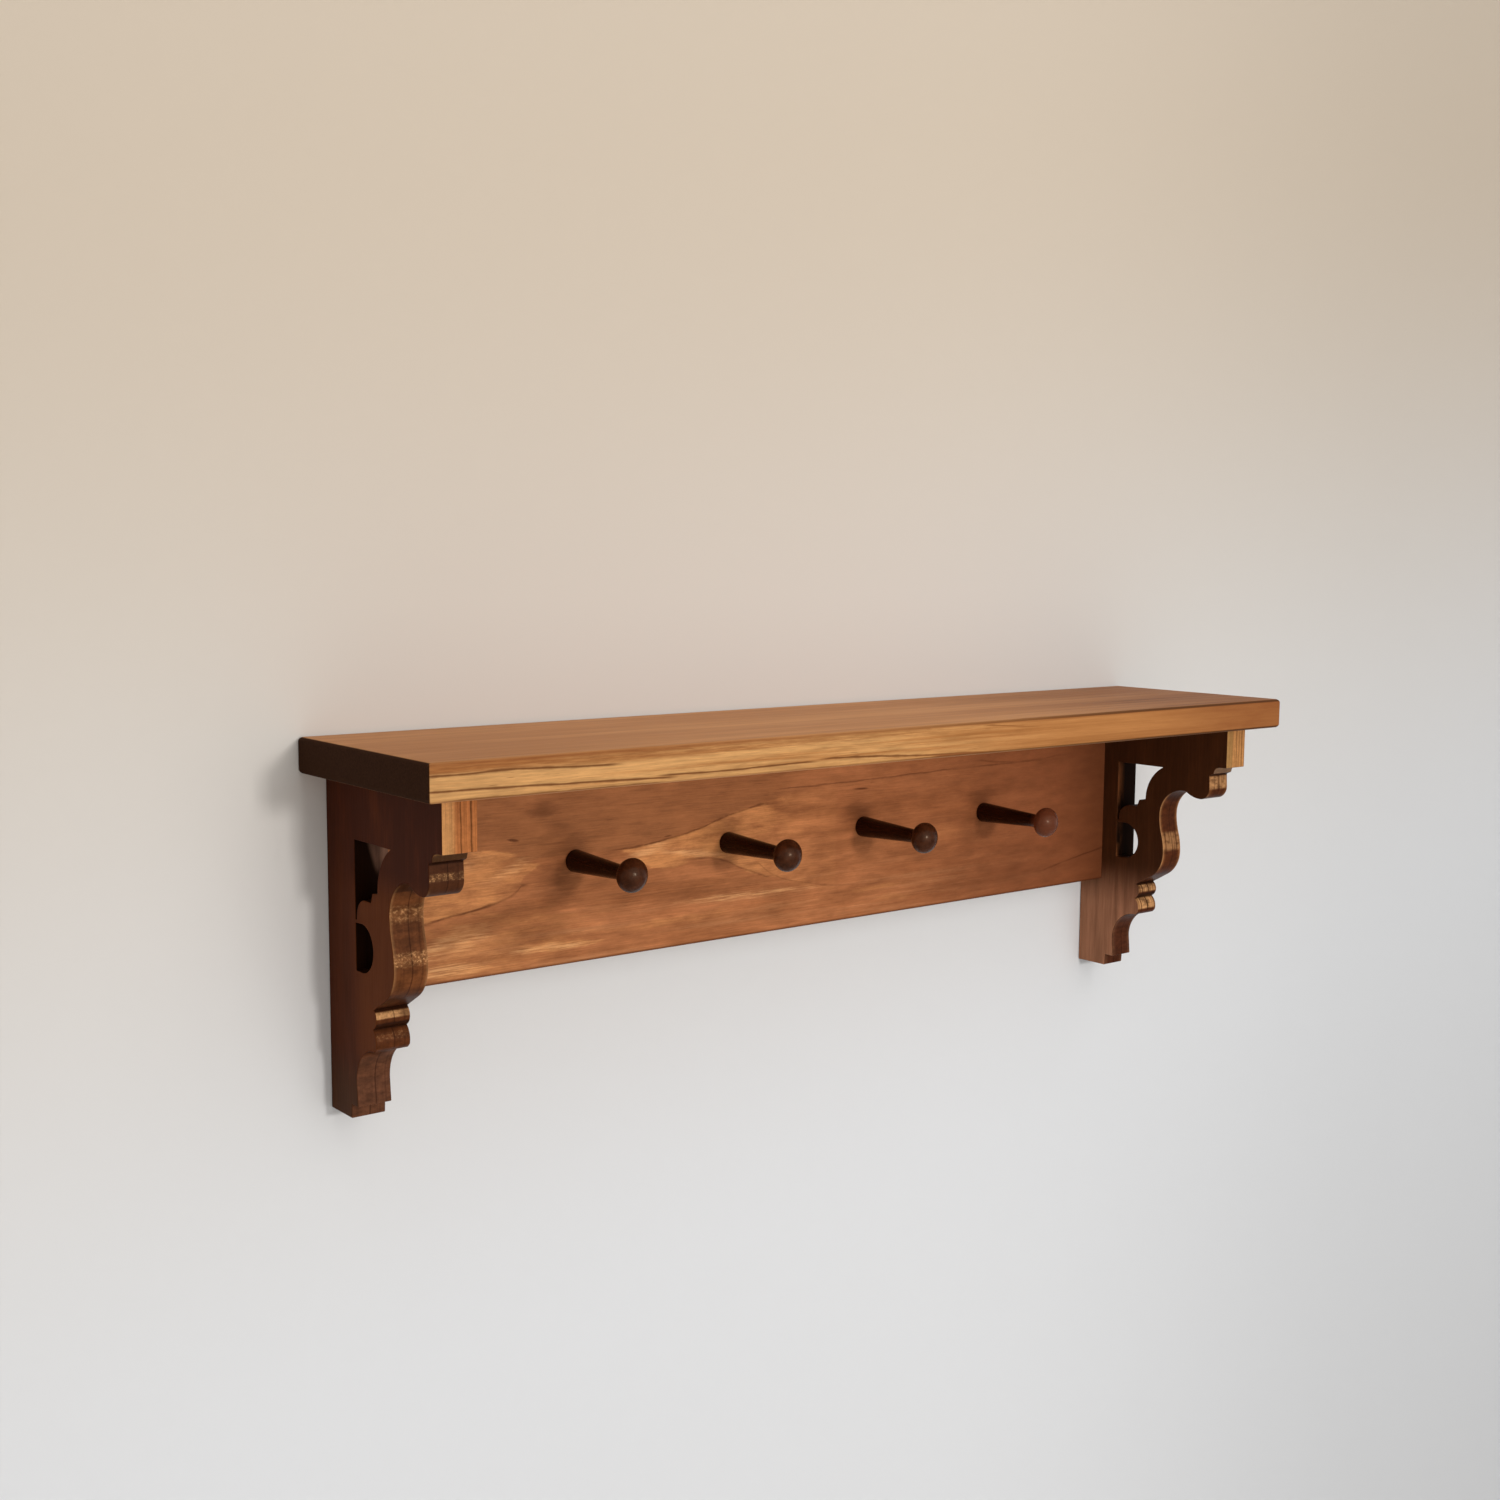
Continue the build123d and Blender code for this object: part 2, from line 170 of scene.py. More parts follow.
class Graph:
    """The node tree of a material or a world, with short calls for the nodes that the looks use."""

    def __init__(self, owner):
        owner.use_nodes = True
        self.owner = owner
        self.tree = owner.node_tree
        self.tree.nodes.clear()

    def add(self, kind, inputs, **settings):
        """A node with its settings; an input takes a number, a colour or another node's socket."""
        node = self.tree.nodes.new("ShaderNode" + kind)
        for name, value in settings.items():
            setattr(node, name, value)
        for key, value in inputs.items():
            if isinstance(value, bpy.types.NodeSocket):
                self.tree.links.new(value, node.inputs[key])
            else:
                node.inputs[key].default_value = value
        return node

    def maths(self, operation, *values):
        return self.add("Math", dict(enumerate(values)), operation=operation).outputs[0]

    def absolute(self, value):
        return self.maths("ABSOLUTE", value)

    def times(self, *values):
        """The product of several values."""
        return reduce(partial(self.maths, "MULTIPLY"), values)

    def most(self, *masks):
        """The strongest of several masks."""
        return reduce(partial(self.maths, "MAXIMUM"), masks)

    def without(self, mask):
        """Strong where the mask is weak."""
        return self.maths("SUBTRACT", 1, mask)

    def weighted(self, mask, rows):
        """The strongest of several masks of one kind; a row holds the mask's values and then its weight."""
        return self.most(*(self.times(mask(*values), weight) for *values, weight in rows))

    def shaken(self, value, pattern, amount):
        """A value moved up and down by a pattern, by half of amount at most."""
        return self.maths("MULTIPLY_ADD", self.maths("SUBTRACT", pattern, 0.5), amount, value)

    def span(self, value, low, high, to_low=0, to_high=1, smooth=True):
        """value moved from one range to another and held inside it."""
        kind = "SMOOTHSTEP" if smooth else "LINEAR"
        inputs = {"Value": value, "From Min": low, "From Max": high, "To Min": to_low, "To Max": to_high}
        return self.add("MapRange", inputs, interpolation_type=kind).outputs["Result"]

    def ranged(self, pattern, low, high):
        """The part of a pattern that noise mostly fills, moved to a range."""
        return self.span(pattern, 0.3, 0.7, low, high, smooth=False)

    def band(self, value, low, high, soft):
        """1 between two values, fading out over soft."""
        return self.times(self.span(value, low - soft, low), self.span(value, high + soft, high))

    def scaled(self, vector, amount):
        """A vector or a colour times one amount."""
        vector = vector if isinstance(vector, bpy.types.NodeSocket) else tuple(vector)
        return self.add("VectorMath", {0: vector, "Scale": amount}, operation="SCALE").outputs["Vector"]

    def toned(self, tone, pattern, dark, light):
        """A colour made darker and lighter by a pattern."""
        return self.scaled(tone, self.ranged(pattern, dark, light))

    def mix(self, factor, first, second):
        """Two colours mixed; a colour may be a property's three numbers."""
        inputs = {"Factor": factor, 6: opaque(first), 7: opaque(second)}
        return self.add("Mix", inputs, data_type="RGBA").outputs[2]

    def over(self, base, tone, *masks):
        """A tone laid over the base by the product of the masks."""
        return self.mix(self.times(*masks), base, tone)


class FinishGraph(Graph):
    """A finish in Object coordinates, which it has in millimetres."""

    def __init__(self, name):
        super().__init__(bpy.data.materials.new(name))
        self.place = self.scaled(self.add("TexCoord", {}).outputs["Object"], 1 / MM)
        self.axes = tuple(self.add("SeparateXYZ", {0: self.place}).outputs)

    def facing(self):
        """The three parts of the surface's normal."""
        return tuple(self.add("SeparateXYZ", {0: self.add("NewGeometry", {}).outputs["Normal"]}).outputs)

    def noise(self, factors, detail=3, roughness=0.5):
        """Noise from 0 to 1, with a factor for each axis."""
        place = self.add("VectorMath", {0: self.place, 1: factors}, operation="MULTIPLY").outputs["Vector"]
        inputs = {"Vector": place, "Scale": 1, "Detail": detail, "Roughness": roughness}
        return self.add("TexNoise", inputs).outputs["Fac"]

    def streaks(self, axis, length, width):
        """Uneven streaks along one axis, about length by width in mm."""
        return self.noise(along_grain(axis, 1 / length, 1 / width), 6, 0.68)

    def pores(self):
        """Short dark dashes along X, 1 in a dash."""
        return self.span(self.noise(along_grain(X, 0.09, 1.9), 2, 0.4), 0.66, 0.76)

    def patch(self, centre, half, tilt, soft, ragged):
        """An oval patch in the board's face, 1 inside; centre and half are (x, z), tilt is in degrees."""
        depth = 70
        inputs = {
            "Vector": self.place, "Location": (centre[0], 0, centre[1]),
            "Rotation": (0, radians(tilt), 0), "Scale": (half[0], depth, half[1]),
        }
        moved = self.add("Mapping", inputs, vector_type="TEXTURE").outputs["Vector"]
        reach = self.add("VectorMath", {0: moved}, operation="LENGTH").outputs["Value"]
        uneven = self.shaken(reach, self.noise((0.06, 0.1, 0.3), 4, 0.6), 4 * ragged)
        return self.span(uneven, 1 + soft, 1 - soft)

    def line_height(self, points):
        """Height of a smooth line through (x, z) points, at every place across the board."""
        first, last = points[0][0], points[-1][0]
        low = min(z for x, z in points) - 1
        rise = max(z for x, z in points) + 1 - low
        node = self.add("FloatCurve", {"Value": self.span(self.axes[X], first, last, smooth=False)})
        curve = node.mapping.curves[0]
        while len(curve.points) < len(points):
            curve.points.new(0.5, 0.5)
        for knot, (x, z) in zip(curve.points, points):
            knot.location = ((x - first) / (last - first), (z - low) / rise)
        node.mapping.update()
        return self.maths("MULTIPLY_ADD", node.outputs["Value"], rise, low)

    def between(self, upper, lower, soft, ragged, fade):
        """1 between two lines of (x, z) points, with an uneven rim; it fades out past their ends."""
        height = self.shaken(self.axes[Z], self.noise((0.07, 0.1, 0.2), 5, 0.65), 2 * ragged)
        height = self.shaken(height, self.streaks(X, 13, 1.3), 1.8 * ragged)
        under = self.maths("SUBTRACT", self.line_height(upper), height)
        over = self.maths("SUBTRACT", height, self.line_height(lower))
        inside = self.span(self.maths("MINIMUM", under, over), -soft, soft)
        return self.times(inside, self.band(self.axes[X], lower[0][0], lower[-1][0], fade))

    def grain_line(self, points, width, fade, wobble):
        """A dark line through (x, z) points, 1 on the line; it fades out past its ends."""
        strayed = self.shaken(self.axes[Z], self.noise((0.06, 0.1, 0.1), 4), 2 * wobble)
        off = self.absolute(self.maths("SUBTRACT", strayed, self.line_height(points)))
        swell = self.times(self.noise((0.08, 0, 0), 2), 2.4 * width)
        line = self.span(off, swell, 0)
        return self.times(line, self.band(self.axes[X], points[0][0], points[-1][0], fade))

    def seam(self, across, place, width):
        """A dark line down a sawn edge."""
        off = self.absolute(self.maths("SUBTRACT", across, place))
        return self.span(off, width, 0.2 * width)

    def finish(self, base, roughness, relief, depth, strength, **constants):
        """The Principled shader with a bump from relief; constants are its fixed sockets."""
        bump = self.add("Bump", {"Height": relief, "Distance": depth, "Strength": strength})
        inputs = {"Base Color": base, "Roughness": roughness, "Normal": bump.outputs["Normal"]}
        inputs.update({key.replace("_", " "): value for key, value in constants.items()})
        shader = self.add("BsdfPrincipled", inputs)
        self.add("OutputMaterial", {"Surface": shader.outputs["BSDF"]})
        return self.owner


def opaque(value):
    """A colour socket as it is, or three numbers with full alpha."""
    return value if isinstance(value, bpy.types.NodeSocket) else (*value, 1)


def along_grain(axis, along, across):
    """Factors by axis, one along the grain and one across it."""
    return tuple(along if i == axis else across for i in range(3))


# ---------------- figure of the wood, in mm

# grain lines: (x, z) points, width, fade past the ends, wobble, weight
FRONT_MIDDLE_LINE = ((-76, 43.5), (-52, 42.7), (-25, 41.4), (0, 40.4), (26, 39.9), (48, 38.9))
FRONT_LINES = (
    (((-318, 50.9), (-300, 50.8), (-280, 51.3), (-262, 51), (-240, 50.2), (-222, 49.8)), 0.8, 14, 0.35, 1),
    (((-314, 43.6), (-275, 43.1), (-250, 42.5), (-220, 41.9), (-197, 41.3), (-188, 41)), 0.8, 14, 0.35, 1),
    (((-182, 42.2), (-160, 42), (-146, 41.8), (-125, 42.2), (-98, 42.6)), 0.7, 14, 0.35, 1),
    (FRONT_MIDDLE_LINE, 0.8, 14, 0.35, 1),
    (((-300, 38.7), (-250, 38.5), (-196, 38.6)), 1, 14, 0.35, 1),
    (((44, 54.6), (54, 53.8), (66, 52.8)), 0.6, 8, 0.3, 1),
    (((70, 52.2), (80, 51.8)), 0.45, 8, 0.3, 1),
    (((110, 41), (150, 40.4), (190, 39.4)), 0.6, 20, 0.35, 1),
)
BOARD_RIDGE = (
    (-128, -17), (-112, -16), (-98, -14), (-80, -11), (-64, -7), (-46, -2.5), (-28, 0.5),
    (-8, 4), (30, 7), (90, 8.6), (200, 10.5),
)
BOARD_LINES = (
    (BOARD_RIDGE[:7], 0.9, 14, 0.9, 1),
    (((-262, -46), (-248, -44), (-225, -41), (-206, -37), (-197, -31)), 1, 6, 0.8, 1),
    (((-76, -28), (-60, -30), (-44, -37), (-24, -44)), 0.8, 12, 1.2, 0.6),
    (((-30, -36), (0, -50), (60, -58)), 0.7, 20, 1.2, 0.4),
    (((0, 8.6), (60, 9.2), (130, 10.6), (205, 11)), 0.7, 25, 0.8, 0.7),
    (((160, 14.5), (200, 11.5), (232, 13)), 0.6, 20, 0.8, 0.6),
    (((-130, 29), (-95, 32), (-60, 33.5)), 0.6, 20, 0.8, 0.5),
    (((222, -66.5), (250, -61.5), (285, -56)), 0.9, 14, 0.6, 1),
)

# outlines of the board's two golden tongues
LEFT_TONGUE_TOP = (
    (-300, -7), (-262, -8), (-232, -9), (-208, -10.5), (-202, -13), (-196, -17), (-186, -20.5),
)
LEFT_TONGUE_LOW = (
    (-300, -46), (-262, -46), (-248, -44), (-225, -41), (-210, -38), (-200, -32), (-193, -25), (-186, -21),
)
MIDDLE_TONGUE_LOW = (
    (-128, -19), (-118, -25), (-108, -30), (-92, -31), (-80, -28), (-66, -28), (-50, -33), (-38, -40),
    (-20, -45), (0, -52), (30, -60),
)

# patches of the board: (x, z) centre and half size, tilt in degrees, softness, raggedness, weight
GOLDEN_PATCHES = (
    ((-234, -57), (24, 9), -10, 0.6, 0.4, 0.75),
    ((-228, -62), (56, 15), 0, 0.7, 0.7, 0.6),
    ((-242, -73), (27, 4), 1, 0.6, 0.3, 1),
    ((-250, -60), (10, 4), -20, 0.6, 0.4, 0.9),
    ((-176, -67.5), (26, 2.4), 1.5, 0.5, 0.5, 1),
    ((-95, -63), (40, 2.2), -1, 0.6, 0.6, 0.5),
    ((66, -61), (22, 1.4), -2, 0.6, 0.5, 0.55),
    ((82, -69), (12, 2), 4, 0.6, 0.5, 0.5),
    ((-215, 35.5), (14, 1.2), 2, 0.6, 0.4, 0.6),
    ((110, -30), (36, 5), 3, 0.9, 0.5, 0.35),
)
BARE_SPOTS = (
    ((-252, -17), (26, 5), -6, 0.7, 0.5, 0.6),
    ((-205, -22), (14, 3), -20, 0.7, 0.5, 0.6),
    ((-246, -72), (24, 3), 1, 0.6, 0.4, 1),
    ((-252, -60), (12, 4), -20, 0.7, 0.5, 1),
    ((-234, -57), (16, 6), -10, 0.7, 0.5, 0.8),
    ((-180, -68), (26, 1.8), 1.5, 0.6, 0.5, 1),
    ((-112, -20), (14, 2.4), -12, 0.7, 0.5, 1),
    ((-80, -24), (20, 2), 8, 0.7, 0.5, 1),
    ((-40, -54), (36, 2), 1, 0.8, 0.6, 1),
)
DARK_MARKS = (
    ((-202, -5.2), (3.6, 0.8), 10, 0.4, 0.05, 1),
    ((52, 3.8), (6, 0.6), 2, 0.5, 0.1, 1),
    ((-98, -12.5), (2.5, 0.5), -6, 0.5, 0.05, 0.7),
)
# dark smudges in the stain, and painted shade beside and under the pegs
PEG_SHADE_AND_SMEARS = (
    ((-183, 10), (9, 4.5), 0, 0.7, 0.4, 0.9),
    ((-172, -2), (6, 11), -35, 0.9, 0.4, 0.45),
    ((-174, -30), (12, 20), 0, 0.8, 0.5, 0.85),
    ((-226, -51), (34, 5), -12, 0.8, 0.5, 0.6),
    ((-196, -60), (18, 5), 0, 0.9, 0.5, 0.5),
    ((-60, 14), (40, 5), -3, 0.9, 0.5, 0.3),
    ((-120, -44), (50, 8), 4, 0.9, 0.5, 0.3),
    ((-240, 0), (50, 3), -2, 0.9, 0.5, 0.3),
    ((-66, -18), (12, 14), -20, 0.9, 0.4, 0.35),
    ((168, -62), (16, 7), 20, 0.9, 0.5, 0.6),
    ((150, -32), (8, 16), 0, 0.9, 0.4, 0.35),
    ((200, -66), (70, 14), 0, 0.9, 0.5, 0.35),
    # painted shade under each peg's knob
    *(
        ((across, -12.5), (11, 7), 0, 0.8, 0.4, weight)
        for across, weight in ((-165, 0.8), (-56, 0.6), (50, 1), (158, 0.8))
    ),
)

# places on the brackets' sawn edges: lowest and highest Z, softness, weight
# heights of painted highlights on the left bracket, and of painted highlights mixed with golden wood on the
# right one
LEFT_GLINTS = ((-29, -24, 3, 0.7), (-51, -47, 2.6, 1), (-3, -0.8, 1.3, 0.75), (-93, -91, 1.4, 0.25))
RIGHT_GLINTS_AND_GOLD = ((-50, -41, 3, 0.45), (-3.5, 3, 2, 0.72), (-83, -79.5, 1.6, 1), (-95, -89, 1.6, 1))
# notches darkened with painted shade
EDGE_NOTCHES = ((-78.5, -76.8, 1, 1), (-88, -85.6, 1.4, 1), (4.6, 5.6, 0.6, 1))


# ---------------- finishes

def shelf_wood():
    """Light honey stain with the grain along X, dark on the ends, and painted shade along the rounded edges."""
    tones = colours()
    graph = FinishGraph("shelf_wood")
    x, y, z = graph.axes
    facing = graph.facing()
    steep_x, steep_y, steep_z = (graph.absolute(part) for part in facing)
    on_top = graph.span(steep_z, 0.5, 0.95)
    on_end = graph.span(steep_x, 0.3, 0.62)

    base = graph.mix(on_top, honey_front(graph), honey_top(graph))
    rims = graph.most(graph.span(z, 54.4, 55.8), graph.span(z, 39.6, 38.2))
    base = graph.over(base, tones.russet, rims, graph.without(on_top), 0.6)
    fine = graph.streaks(X, 34, 1)
    base = graph.over(base, graph.toned(tones.end_grain, fine, 0.7, 1.25), on_end)

    # painted shade along the rounded edges; along the front it grows from faint on the left to strong on the
    # right
    rounded = graph.span(graph.most(steep_x, steep_y, steep_z), 0.98, 0.88)
    elsewhere = 0.8
    at_front = graph.span(facing[Y], -0.15, -0.45)
    front_line = graph.span(x, -120, 220, 0.05, 0.75)
    drawn = graph.maths("MULTIPLY_ADD", at_front, graph.maths("SUBTRACT", front_line, elsewhere), elsewhere)
    at_corners = graph.span(graph.absolute(x), 312, 316, 1, 1.1)
    base = graph.over(base, tones.end_grain, rounded, drawn, at_corners)
    rough = graph.maths("MULTIPLY_ADD", on_end, 0.3, graph.ranged(fine, 0.52, 0.42))
    return graph.finish(base, rough, fine, 0.1 * MM, 0.6, Specular_IOR_Level=0.04)


def honey_front(graph):
    """Front edge: golden bands between dark lines that drift down to the right."""
    tones, (x, y, z) = colours(), graph.axes
    bands = graph.streaks(X, 210, 3.4)
    flecks = graph.streaks(X, 18, 0.9)
    clouds = graph.streaks(X, 60, 9)
    glow = graph.times(graph.band(z, 39, 49, 2), graph.span(x, 40, -220))
    light = graph.maths("MULTIPLY_ADD", glow, 0.35, graph.span(bands, 0.34, 0.64, smooth=False))
    base = graph.mix(graph.span(light, 0, 1), tones.honey_deep, tones.honey)
    base = graph.toned(base, flecks, 0.7, 1.12)
    base = graph.toned(base, clouds, 0.8, 1.08)
    upper = graph.times(graph.span(z, 50.6, 52.6), graph.span(x, 60, -180, 0.15, 0.6))
    base = graph.over(base, tones.russet, upper, graph.span(flecks, 0.62, 0.4, 0.35))
    base = graph.over(base, tones.honey_dark, graph.weighted(graph.grain_line, FRONT_LINES), 0.95)
    base = graph.over(base, tones.honey_dark, graph.pores(), 0.6)
    deeper = graph.span(x, -60, 130, 0, 0.78)
    base = graph.over(base, graph.toned(tones.honey_deep, bands, 0.76, 1.14), deeper)
    far_end = graph.span(x, 120, 300)
    base = graph.over(base, tones.russet, far_end, graph.span(clouds, 0.3, 0.66, 1, 0.7))
    # the strip between the middle grain line and the lower edge is as brown as the board behind
    under = graph.maths("SUBTRACT", graph.line_height(FRONT_MIDDLE_LINE), z)
    stained = graph.times(graph.span(under, -0.2, 0.4), graph.band(x, 4, 48, 9))
    return graph.over(base, tones.russet, stained, 0.85)


def honey_top(graph):
    """Top of the shelf: soft streaks of browner honey, and deeper stain towards the ends."""
    tones, x = colours(), graph.axes[X]
    broad = graph.streaks(X, 420, 22)
    fine = graph.streaks(X, 46, 1.4)
    base = graph.mix(graph.span(broad, 0.32, 0.66), tones.honey_brown, tones.honey_pale)
    base = graph.toned(base, fine, 0.88, 1.08)
    base = graph.over(base, tones.russet, graph.span(graph.streaks(X, 130, 3), 0.6, 0.76, 0, 0.35))
    left_end = graph.span(x, -150, -310, 0, 0.2)
    right_end = graph.times(graph.span(x, 40, 290), graph.span(broad, 0.32, 0.66, 0.98, 0.62))
    base = graph.over(base, tones.russet_top, graph.maths("ADD", left_end, right_end))
    long_lines = graph.span(graph.streaks(X, 160, 4), 0.52, 0.62, 0, 0.55)
    return graph.over(base, tones.honey_dark, long_lines, graph.span(x, 0, 240))


def board_wood():
    """Reddish brown stain over flat-sawn figure, with golden tongues where it took little stain, and painted
    shade at the pegs, the right end and the bottom edge.
    """
    tones = colours()
    graph = FinishGraph("board_wood")
    x, y, z = graph.axes
    fine = graph.streaks(X, 26, 0.9)
    drift = graph.streaks(X, 85, 17)
    bands = graph.streaks(X, 120, 4.5)
    clouds = graph.streaks(X, 30, 9)

    base = graph.mix(graph.span(drift, 0.3, 0.7), tones.chestnut_deep, tones.chestnut)
    above = graph.span(graph.maths("SUBTRACT", z, graph.line_height(BOARD_RIDGE)), -0.6, 1.2)
    base = graph.over(base, tones.olive, above, graph.span(x, 60, -60), 0.75)
    low = graph.span(z, -30, -58)
    base = graph.over(base, tones.copper, graph.span(bands, 0.46, 0.72), low, 0.5)
    base = graph.over(base, tones.amber, golden_places(graph), graph.span(clouds, 0.32, 0.62, 0.1, 0.95))
    bare = graph.weighted(graph.patch, BARE_SPOTS)
    base = graph.over(base, tones.blond, bare, graph.span(fine, 0.4, 0.62, 0.1, 0.9))
    base = graph.toned(base, clouds, 0.74, 1.14)
    base = graph.toned(base, bands, 0.93, 1.06)
    base = graph.toned(base, fine, 0.74, 1.1)
    far_end = graph.span(x, -25, 282, 0, 0.95)
    base = graph.over(base, graph.toned(tones.mahogany, clouds, 0.85, 1.25), far_end)

    # painted shade on the board's right end next to the right bracket, together with the dark smudges
    shade_and_smears = graph.most(graph.weighted(graph.patch, PEG_SHADE_AND_SMEARS), graph.span(x, 215, 286, 0, 0.8))
    # painted shade along the bottom edge
    bottom_edge_shade = graph.span(z, -77, -78.4)
    for mask, weight in ((figure_lines(graph), 0.8), (shade_and_smears, 0.6), (graph.pores(), 0.4), (bottom_edge_shade, 0.8)):
        base = graph.over(base, tones.chestnut_dark, mask, weight)
    rough = graph.ranged(fine, 0.54, 0.44)
    return graph.finish(base, rough, fine, 0.1 * MM, 0.5, Specular_IOR_Level=0.05)


def golden_places(graph):
    """Where the peg board took little stain; the middle tongue pales out to the right."""
    middle_fade = graph.span(graph.axes[X], 30, -70, 0.15)
    tongues = (
        (LEFT_TONGUE_TOP, LEFT_TONGUE_LOW, 0.8, 2.4, 2, 0.9),
        (BOARD_RIDGE[:10], MIDDLE_TONGUE_LOW, 1, 2.4, 3, middle_fade),
    )
    return graph.most(graph.weighted(graph.between, tongues), graph.weighted(graph.patch, GOLDEN_PATCHES))


def figure_lines(graph):
    """Late wood lines of the peg board, broken in places, and small dark marks."""
    broken = graph.span(graph.streaks(X, 30, 60), 0.34, 0.56, 0.35)
    lines = graph.times(graph.weighted(graph.grain_line, BOARD_LINES), broken)
    return graph.most(lines, graph.weighted(graph.patch, DARK_MARKS))


def bracket_wood():
    """Dark brown stain on the brackets' faces, with painted light low on the right bracket; the grain runs
    along Z.
    """
    tones = colours()
    graph = FinishGraph("bracket_wood")
    x, y, z = graph.axes
    fine = graph.streaks(Z, 30, 1.1)
    drift = graph.streaks(Z, 60, 13)
    right = graph.span(x, -50, 50)
    outward = graph.span(y, -22, -44, 0.25)
    glowing = graph.times(graph.band(z, -98, -24, 22), graph.without(right), outward, 0.85)
    warm = graph.most(glowing, graph.span(drift, 0.45, 0.75, 0, 0.4))
    base = graph.mix(warm, tones.umber, tones.umber_warm)
    foot = graph.most(graph.span(z, -100, -130, 0, 0.7), graph.times(right, 0.6))
    base = graph.over(base, tones.umber_grey, foot)
    streaky = graph.span(graph.streaks(Z, 110, 6), 0.32, 0.66, 0.55)
    # painted light on the right bracket's lower part, in streaks of the stain
    base = graph.over(base, tones.cocoa_streaks_and_light, graph.span(z, -62, -100), right, streaky)
    base = graph.toned(base, fine, 0.82, 1.14)
    base = graph.toned(base, drift, 0.86, 1.1)
    rough = graph.ranged(fine, 0.54, 0.44)
    return graph.finish(base, rough, fine, 0.08 * MM, 0.5, Specular_IOR_Level=0.03)


def bracket_edge_wood():
    """Sawn edges of the brackets: lines run with the outline, and high places carry painted highlights, partly
    rubbed gold.
    """
    tones = colours()
    graph = FinishGraph("bracket_edge_wood")
    (x, y, height), facing = graph.axes, graph.facing()
    to_front = graph.span(facing[Y], -0.3, -0.85)
    right = graph.span(x, -50, 50)
    left = graph.without(right)
    # from minus to plus half the thickness, left to right over either bracket
    across = graph.maths("SUBTRACT", x, graph.times(graph.maths("SIGN", x), BRACKET_MIDDLE))
    off_middle = graph.absolute(across)
    wavered = graph.shaken(across, graph.noise((0, 0.05, 0.05), 2), 1.6)
    layers = graph.streaks(X, 1.6, 60)
    specks = graph.noise((0.55, 0.6, 0.75), 5, 0.75)
    patches = graph.noise((0.14, 0.2, 0.28), 3, 0.6)

    base = graph.mix(to_front, tones.umber_dark, tones.umber_edge)
    base = graph.over(base, tones.umber, graph.span(height, -58, -74), 0.5)
    base = graph.over(base, tones.umber_foot, graph.span(height, -100, -108), to_front, 0.8)
    base = graph.over(base, tones.umber, graph.span(off_middle, 8.5, 5, 0, 0.75), right)
    base = graph.over(base, tones.umber_roll, graph.band(height, -45, -32, 4), left, 0.3)
    base = graph.toned(base, patches, 0.66, 1.16)
    base = graph.over(base, tones.umber_roll, graph.band(height, -14, 5, 1), left, 0.9)

    # painted highlights in specks on the left bracket, and in streaks that are partly golden wood on the right
    # one
    on_height = partial(graph.band, height)
    glint_specks = graph.times(graph.weighted(on_height, LEFT_GLINTS), left, graph.span(specks, 0.48, 0.66, 0.12))
    bead_glint = graph.times(on_height(-82, -79.8, 1), graph.span(specks, 0.3, 0.6, 0.55), left)
    right_glints_and_gold = graph.times(graph.weighted(on_height, RIGHT_GLINTS_AND_GOLD), right, graph.span(layers, 0.36, 0.54, 0.15))
    rubbed = graph.maths("ADD", graph.most(glint_specks, bead_glint), right_glints_and_gold)
    cloudy = graph.span(patches, 0.32, 0.56, 0.35)
    base = graph.over(base, tones.gold_and_glints, rubbed, to_front, cloudy)
    # painted highlights along the eased rims of the sawn edges
    rims = graph.most(
        graph.band(graph.absolute(facing[X]), 0.3, 0.9, 0.1),
        graph.span(off_middle, 7.4, 9.2, 0, 0.7),
    )
    rim_glint_weight = graph.maths("MULTIPLY_ADD", right, 0.25, 0.3)
    base = graph.over(base, tones.gold_and_glints, rims, on_height(-62, -12, 6), to_front, rim_glint_weight)

    nose = graph.toned(nose_tone(graph, right, across), layers, 0.82, 1.16)
    base = graph.over(base, nose, graph.span(height, 7, 9), to_front)
    base = graph.toned(base, patches, 0.9, 1.08)
    on_nose = partial(graph.span, height, 4, 10)
    seams = graph.weighted(partial(graph.seam, wavered), (
        (0.6, 0.55, 1), (6.2, 0.7, on_nose(0.4)), (3.6, 0.4, on_nose(0, 0.3)), (8.2, 0.4, on_nose(0, 0.3)),
    ))
    base = graph.over(base, tones.umber_dark, seams, 0.6)
    cove = graph.mix(right, tones.umber_grey, tones.cove_brown)
    base = graph.over(base, cove, on_height(6, 10.4, 1), to_front)
    # painted shade in the notches
    base = graph.over(base, tones.umber_dark, graph.weighted(on_height, EDGE_NOTCHES), 0.85)
    base = graph.toned(base, layers, 0.8, 1.16)
    base = graph.toned(base, specks, 0.84, 1.12)
    relief = graph.maths("MULTIPLY_ADD", layers, 0.6, graph.times(specks, 0.5))
    rough = graph.ranged(specks, 0.26, 0.44)
    return graph.finish(base, rough, relief, 0.14 * MM, 0.7, Specular_IOR_Level=0.03)


def nose_tone(graph, right, across):
    """Golden front of a bracket's nose, with an olive strip down the right bracket's."""
    tones = colours()
    left_half = graph.mix(graph.span(across, -1, -5, 0, 0.6), tones.honey_nose, tones.honey)
    gold = graph.mix(right, left_half, tones.honey_clear)
    return graph.over(gold, tones.olive_gold, graph.span(across, -2.5, -4.5), right, 0.8)


